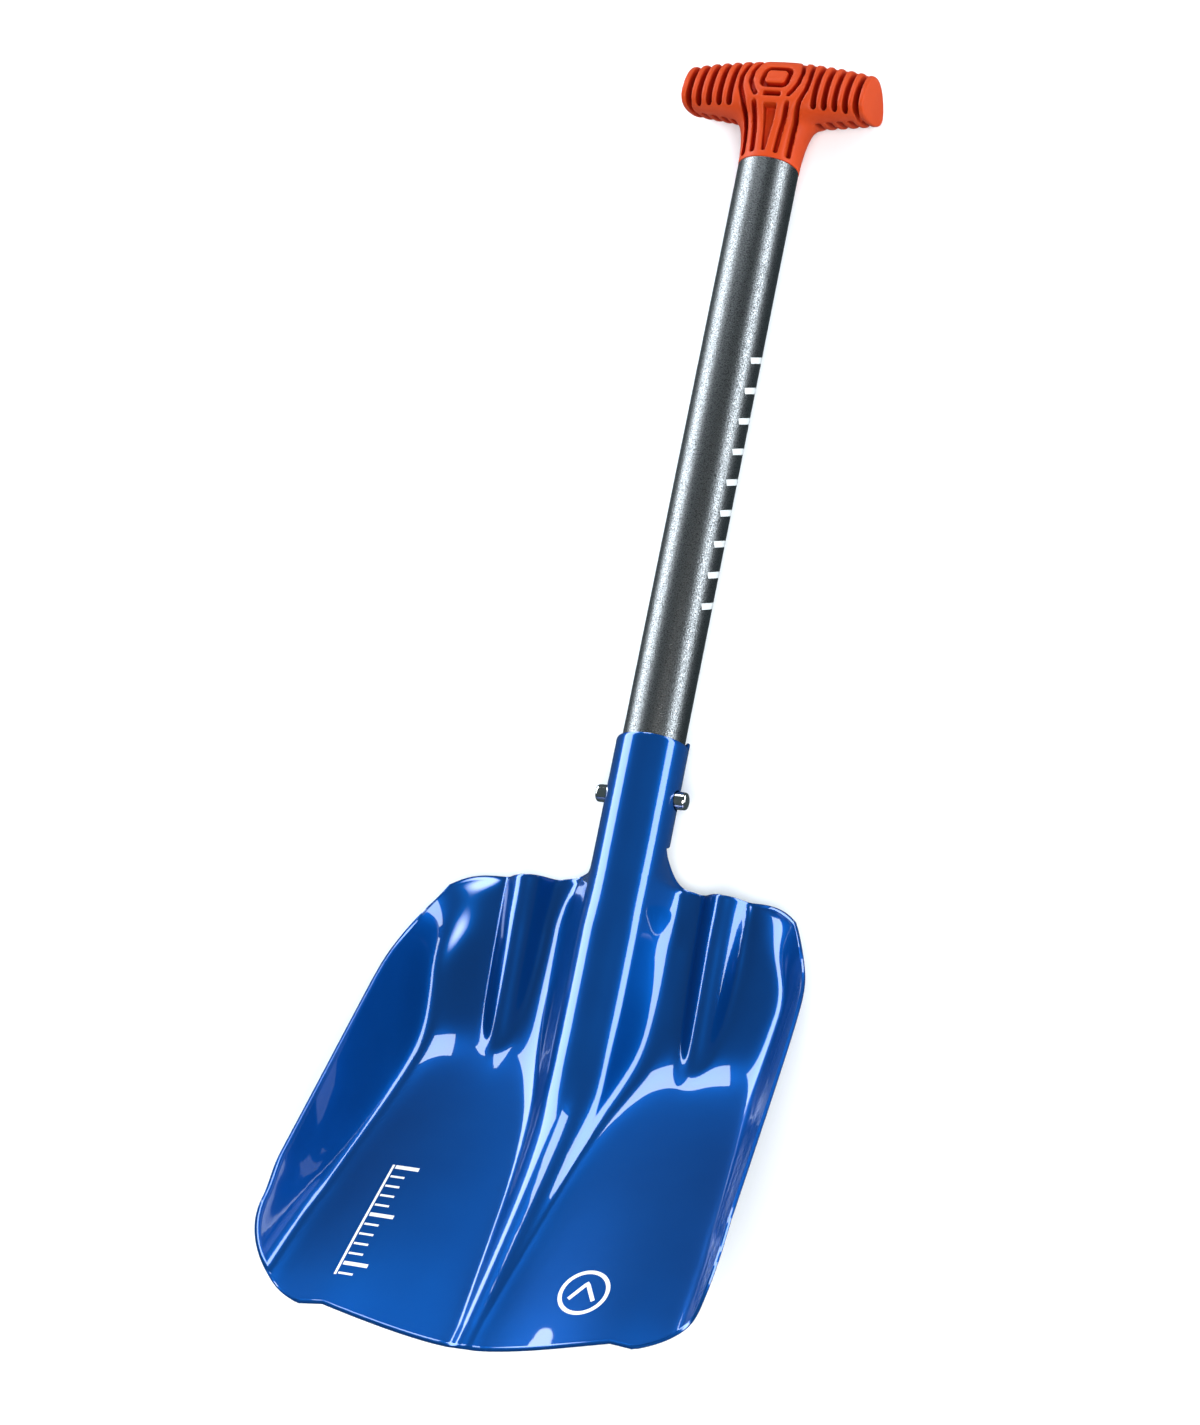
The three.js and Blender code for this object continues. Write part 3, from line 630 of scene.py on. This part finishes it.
def strip(centre, width, surface):
    """A flat printed stroke along a path of (u, v), lifted a little off surface(u, v, LIFT)."""
    centre = np.array(centre, float)
    way = np.gradient(centre, axis=0)
    way /= np.linalg.norm(way, axis=1)[:, None]
    across = np.stack([-way[:, 1], way[:, 0]], 1)
    lanes = 3
    points, faces = [], []
    for i, (c, a) in enumerate(zip(centre, across)):
        for k in range(lanes):
            offset = (k / (lanes - 1) - 0.5) * width
            points.append(surface(*(c + a * offset), LIFT))
        if i:
            for k in range(lanes - 1):
                here, before = i * lanes + k, (i - 1) * lanes + k
                faces.append((before, here, here + 1, before + 1))
    return np.array(points), faces


def on_blade(x, d, lift):
    step = 0.05
    z = float(sheet_height(abs(x), d))
    slope_x = (float(sheet_height(abs(x + step), d)) - z) / step
    slope_d = (float(sheet_height(abs(x), d + step)) - z) / step
    normal = np.array([-slope_x, slope_d, 1.0])
    return np.array([x, -d, z]) + lift * normal / np.linalg.norm(normal)


def on_tube(arc, y, lift):
    turn = arc / TUBE_RADIUS
    radius = TUBE_RADIUS + lift
    return np.array([radius * math.sin(turn), y, radius * math.cos(turn)])


def line(a, b, step=1.0):
    a, b = np.array(a, float), np.array(b, float)
    count = max(2, int(np.linalg.norm(b - a) / step) + 1)
    return [tuple(a + (b - a) * t) for t in np.linspace(0, 1, count)]


def facing(part, outward):
    """The part with its faces turned to look along outward."""
    points, faces = part
    p = points[list(faces[0])]
    if np.dot(np.cross(p[1] - p[0], p[-1] - p[0]), outward) < 0:
        faces = [tuple(reversed(f)) for f in faces]
    return points, faces


def make_scale():
    """A depth scale on the left of the blade's floor: a ladder of ticks in place of lettering."""
    parts = []
    start, pitch, ticks = 228.0, 5.5, 12
    for i in range(ticks):
        d = start + pitch * i
        long_tick = i % 5 == 0
        length = 11.0 if long_tick else 6.5
        width = 2.0 if long_tick else 1.1
        parts.append(facing(strip(line((-66 + length, d), (-66, d)), width, on_blade), (0, 0, 1)))
    end = start + pitch * (ticks - 1)
    parts.append(facing(strip(line((-67.2, start - 1), (-67.2, end + 1)), 1.1, on_blade), (0, 0, 1)))
    return mesh_object("blade_scale_print", *joined(parts))


def make_badge_print():
    """A ring with a plain peak inside, on the right of the blade's floor."""
    cx, cd, radius = 45.0, 281.0, 11.0
    turns = np.linspace(0, 2 * math.pi, 61)
    ring = [(cx + radius * math.cos(t), cd + radius * math.sin(t)) for t in turns]
    peak = line((cx - 6, cd + 4), (cx, cd - 5)) + line((cx, cd - 5), (cx + 6, cd + 4))[1:]
    parts = [facing(strip(path, 1.9, on_blade), (0, 0, 1)) for path in (ring, peak)]
    return mesh_object("blade_peak_print", *joined(parts))


def make_shaft_print():
    """Slanting bars along the right of the shaft in place of lettering."""
    parts = []
    first, pitch, bars = 68, 16, 9
    for i in range(bars):
        y = first + pitch * i
        bar = strip(line((15.5, y), (31, y + 7)), 3.0, on_tube)
        parts.append(facing(bar, (1, 0, 0)))
    return mesh_object("shaft_bar_print", *joined(parts))


# ---------------------------------------------------------------- materials

def material(name, **inputs):
    """A principled material with the given sockets set, and its node tree and shader."""
    made = bpy.data.materials.new(name)
    made.use_nodes = True
    shader = made.node_tree.nodes["Principled BSDF"]
    for key, value in inputs.items():
        shader.inputs[key.replace("_", " ")].default_value = value
    return made, made.node_tree, shader


def link(tree, a, out, b, socket):
    tree.links.new(a.outputs[out], b.inputs[socket])


def noise(tree, scale, detail=2.0, stretch=None):
    source = tree.nodes.new("ShaderNodeTexCoord")
    node = tree.nodes.new("ShaderNodeTexNoise")
    node.inputs["Scale"].default_value = scale
    node.inputs["Detail"].default_value = detail
    if stretch:
        mapping = tree.nodes.new("ShaderNodeMapping")
        mapping.inputs["Scale"].default_value = stretch
        link(tree, source, "Object", mapping, "Vector")
        link(tree, mapping, "Vector", node, "Vector")
    else:
        link(tree, source, "Object", node, "Vector")
    return node


def ramp(tree, source, out, low, high, from_low=0.0, from_high=1.0):
    """Maps a value between two positions to a value or colour between low and high."""
    node = tree.nodes.new("ShaderNodeValToRGB")
    node.color_ramp.elements[0].position = from_low
    node.color_ramp.elements[1].position = from_high
    for element, value in zip(node.color_ramp.elements, (low, high)):
        element.color = (*value, 1) if isinstance(value, tuple) else (value, value, value, 1)
    link(tree, source, out, node, "Fac")
    return node


def bump(tree, source, out, shader, distance, strength=1.0):
    node = tree.nodes.new("ShaderNodeBump")
    node.inputs["Distance"].default_value = distance
    node.inputs["Strength"].default_value = strength
    link(tree, source, out, node, "Height")
    link(tree, node, "Normal", shader, "Normal")
    return node


def blade_lacquer():
    made, tree, shader = material("blade_lacquer", Metallic=0.6, Roughness=0.3, Specular_IOR_Level=0.0,
                                  Coat_Weight=1.0, Coat_Roughness=0.02, Coat_IOR=1.6)
    cloud = noise(tree, 14, 3)
    colour = ramp(tree, cloud, "Fac", (0.0012, 0.05, 0.225), (0.0016, 0.062, 0.27), 0.3, 0.7)
    link(tree, colour, "Color", shader, "Base Color")
    ripple = noise(tree, 55, 1)
    node = bump(tree, ripple, "Fac", shader, 0.00012, 0.35)
    link(tree, node, "Normal", shader, "Coat Normal")
    return made


def shaft_graphite():
    made, tree, shader = material("shaft_graphite", Metallic=1.0)
    grain = noise(tree, 1500, 2)
    colour = ramp(tree, grain, "Fac", (0.042, 0.041, 0.04), (0.29, 0.285, 0.28), 0.3, 0.7)
    link(tree, colour, "Color", shader, "Base Color")
    rough = ramp(tree, grain, "Fac", 0.4, 0.25, 0.3, 0.7)
    link(tree, rough, "Color", shader, "Roughness")
    bump(tree, grain, "Fac", shader, 0.00025, 0.5)
    return made


def orange_moulding():
    made, tree, shader = material("orange_moulding", Roughness=0.45, Specular_IOR_Level=0.15)
    cloud = noise(tree, 30, 3)
    colour = ramp(tree, cloud, "Fac", (0.44, 0.04, 0.005), (0.49, 0.049, 0.007), 0.3, 0.7)
    # Painted shade: ambient occlusion multiplies the orange towards a darker red in the grooves, pockets and
    # engraving, where shade falls.
    shade = tree.nodes.new("ShaderNodeAmbientOcclusion")
    shade.inputs["Distance"].default_value = 0.006
    depth = ramp(tree, shade, "AO", (0.85, 0.2, 0.2), (1, 1, 1), 0.2, 0.65)
    painted_groove_shade = tree.nodes.new("ShaderNodeVectorMath")
    painted_groove_shade.operation = "MULTIPLY"
    tree.links.new(colour.outputs["Color"], painted_groove_shade.inputs[0])
    tree.links.new(depth.outputs["Color"], painted_groove_shade.inputs[1])
    link(tree, painted_groove_shade, "Vector", shader, "Base Color")
    texture = noise(tree, 2600, 1)
    bump(tree, texture, "Fac", shader, 0.00008, 0.4)
    return made


def polished_steel():
    made, tree, shader = material("polished_steel", Metallic=1.0, Base_Color=(0.66, 0.63, 0.6, 1))
    scuff = noise(tree, 300, 4, stretch=(1, 6, 1))
    rough = ramp(tree, scuff, "Fac", 0.06, 0.18, 0.35, 0.75)
    link(tree, rough, "Color", shader, "Roughness")
    return made


def spring_steel():
    made, tree, shader = material("spring_steel", Metallic=1.0, Base_Color=(0.4, 0.4, 0.42, 1))
    brushed = noise(tree, 120, 4, stretch=(1, 25, 1))
    rough = ramp(tree, brushed, "Fac", 0.25, 0.5, 0.3, 0.7)
    link(tree, rough, "Color", shader, "Roughness")
    bump(tree, brushed, "Fac", shader, 0.00003, 0.5)
    return made


def black_plastic():
    made, tree, shader = material("black_plastic", Base_Color=(0.018, 0.018, 0.02, 1))
    grain = noise(tree, 1800, 2)
    rough = ramp(tree, grain, "Fac", 0.45, 0.62, 0.3, 0.7)
    link(tree, rough, "Color", shader, "Roughness")
    bump(tree, grain, "Fac", shader, 0.00006, 0.5)
    return made


def print_ink(name, colour):
    made, tree, shader = material(name, Roughness=0.35, Coat_Weight=0.5, Coat_Roughness=0.06)
    mottle = noise(tree, 900, 3)
    shade = ramp(tree, mottle, "Fac", tuple(0.94 * c for c in colour), colour, 0.3, 0.6)
    link(tree, shade, "Color", shader, "Base Color")
    return made


def dress(obj, made, body, slot, *replaced):
    obj.data.materials.clear()
    obj.data.materials.append(made)
    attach(obj, body)
    if replaced:
        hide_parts(*replaced)


# ---------------------------------------------------------------- stage, lights and camera

def make_backdrop():
    """A wide pale ball around everything that only the camera sees, so every view has a plain background."""
    radius, steps = 9000, 24
    turns = [math.pi * i / steps for i in range(1, steps)]
    sides = [(radius * math.sin(turn), -radius * math.cos(turn)) for turn in turns]
    backdrop = mesh_object("backdrop", *lathe([(0, -radius), *sides, (0, radius)], 48))
    made, _, _ = material("backdrop_glow", Base_Color=(0, 0, 0, 1), Specular_IOR_Level=0.0,
                          Emission_Color=(0.95, 0.95, 0.95, 1), Emission_Strength=1.0)
    made.cycles.emission_sampling = "NONE"
    backdrop.data.materials.append(made)
    backdrop.visible_diffuse = backdrop.visible_glossy = backdrop.visible_shadow = False


def make_floor():
    size = 3.0
    z = CAD_BOX[0][2] - 0.0004
    corners = [(-size, -size, z), (size, -size, z), (size, size, z), (-size, size, z)]
    mesh = bpy.data.meshes.new("floor")
    mesh.from_pydata(corners, [], [(0, 1, 2, 3)])
    floor = bpy.data.objects.new("floor", mesh)
    bpy.context.scene.collection.objects.link(floor)
    made, _, _ = material("floor_paper", Roughness=0.9, Base_Color=(0.93, 0.93, 0.93, 1))
    mesh.materials.append(made)
    floor.visible_glossy = False


def fade_edges(data):
    """A light that is brightest in its middle and fades towards its edges, as a lamp behind cloth does."""
    data.use_nodes = True
    tree = data.node_tree
    place_on_light = tree.nodes.new("ShaderNodeNewGeometry")
    off_centre = tree.nodes.new("ShaderNodeVectorMath")
    off_centre.operation = "DISTANCE"
    off_centre.inputs[1].default_value = (0.5, 0.5, 0)
    link(tree, place_on_light, "Parametric", off_centre, 0)
    fade = tree.nodes.new("ShaderNodeMapRange")
    fade.interpolation_type = "SMOOTHSTEP"
    for socket, value in (("From Min", 0.22), ("From Max", 0.6), ("To Min", 1.0), ("To Max", 0.0)):
        fade.inputs[socket].default_value = value
    link(tree, off_centre, "Value", fade, "Value")
    link(tree, fade, "Result", tree.nodes["Emission"], "Strength")


def softbox(name, direction, distance, size, radiance, colour=(1, 1, 1), centre=(0.0, 0.0, 0.05)):
    """A rectangular light in a direction from centre, facing it; radiance sets its brightness."""
    data = bpy.data.lights.new(name, "AREA")
    data.shape = "RECTANGLE"
    data.size, data.size_y = size
    data.energy = radiance * math.pi * size[0] * size[1]
    data.color = colour
    light = bpy.data.objects.new(name, data)
    back = Vector(direction).normalized()
    light.location = Vector(centre) + back * distance
    light.rotation_mode = "QUATERNION"
    light.rotation_quaternion = back.to_track_quat("Z", "Y")
    bpy.context.scene.collection.objects.link(light)
    return light


def make_lights():
    world = bpy.data.worlds.new("studio")
    world.use_nodes = True
    world.node_tree.nodes["Background"].inputs["Color"].default_value = (0.6, 0.88, 1, 1)
    world.node_tree.nodes["Background"].inputs["Strength"].default_value = 0.12
    bpy.context.scene.world = world
    cool = (0.8, 0.91, 1.0)
    softbox("left_strip", (-0.86, 0.36, 0.33), 2.2, (2.8, 1.2), 9.0, cool)
    softbox("right_strip", (0.92, 0.36, 0.2), 2.2, (2.8, 0.8), 9.0, cool)
    softbox("end_box", (-0.15, 0.8, 0.5), 2.6, (0.9, 0.8), 9.0, cool)
    fade_edges(softbox("front_box", (0.33, -0.42, 0.85), 2.8, (2.3, 1.9), 12.5).data)


# The camera looks from the open side and the tip's end, a little from the right.
VIEW_AZIMUTH, VIEW_ELEVATION, VIEW_ROLL = 19.31, -17.9, 11.59
VIEW_DISTANCE, VIEW_LENS = 2.324, 123.8
AIM_X, AIM_Y = -0.0291, 0.0131


def make_camera():
    a, e, roll = (math.radians(v) for v in (VIEW_AZIMUTH, VIEW_ELEVATION, VIEW_ROLL))
    back = Vector((math.sin(a) * math.cos(e), math.sin(e), math.cos(a) * math.cos(e)))
    level = Vector((math.cos(a), 0, -math.sin(a)))
    above = back.cross(level)
    right = math.cos(roll) * level + math.sin(roll) * above
    up = back.cross(right)
    data = bpy.data.cameras.new("camera")
    data.lens, data.sensor_width, data.sensor_fit = VIEW_LENS, 36, "AUTO"
    data.clip_start, data.clip_end = 0.1, 50
    camera = bpy.data.objects.new("camera", data)
    place_at = Vector((AIM_X, RIM_Y + AIM_Y, AXIS_Z)) + back * VIEW_DISTANCE
    rotation = Matrix((right, up, back)).transposed().to_4x4()
    camera.matrix_world = Matrix.Translation(place_at) @ rotation
    bpy.context.scene.collection.objects.link(camera)
    bpy.context.scene.camera = camera


# ---------------------------------------------------------------- assembly
bpy.context.scene.view_settings.view_transform = "Standard"
make_camera()
make_backdrop()
make_floor()
make_lights()

steel = polished_steel()
ink = print_ink("pale_ink", (0.8, 0.8, 0.78))
dress(make_blade(), blade_lacquer(), "blade", "blade_lacquer", "blade")
dress(make_scale(), ink, "blade", "blade_lacquer")
dress(make_badge_print(), ink, "blade", "blade_lacquer")
dress(make_tube(), shaft_graphite(), "shaft", "shaft_finish", "shaft_tube")
dress(make_shaft_print(), print_ink("shaft_ink", (0.62, 0.63, 0.62)), "shaft", "shaft_finish")
dress(make_plug(), black_plastic(), "shaft", "black_plastic", "shaft_end_plug")
dress(make_grip(), orange_moulding(), "shaft", "orange_plastic", "grip")
dress(make_rivet(), steel, "shaft", "bright_steel", "grip_rivet")
dress(make_button("button_right_body", "x"), steel, "right_button", "bright_steel", "snap_button_right")
dress(make_button("button_left_body", "-x"), steel, "left_button", "bright_steel", "snap_button_left")

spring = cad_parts["button_spring"]
spring.data.materials.clear()
spring.data.materials.append(spring_steel())
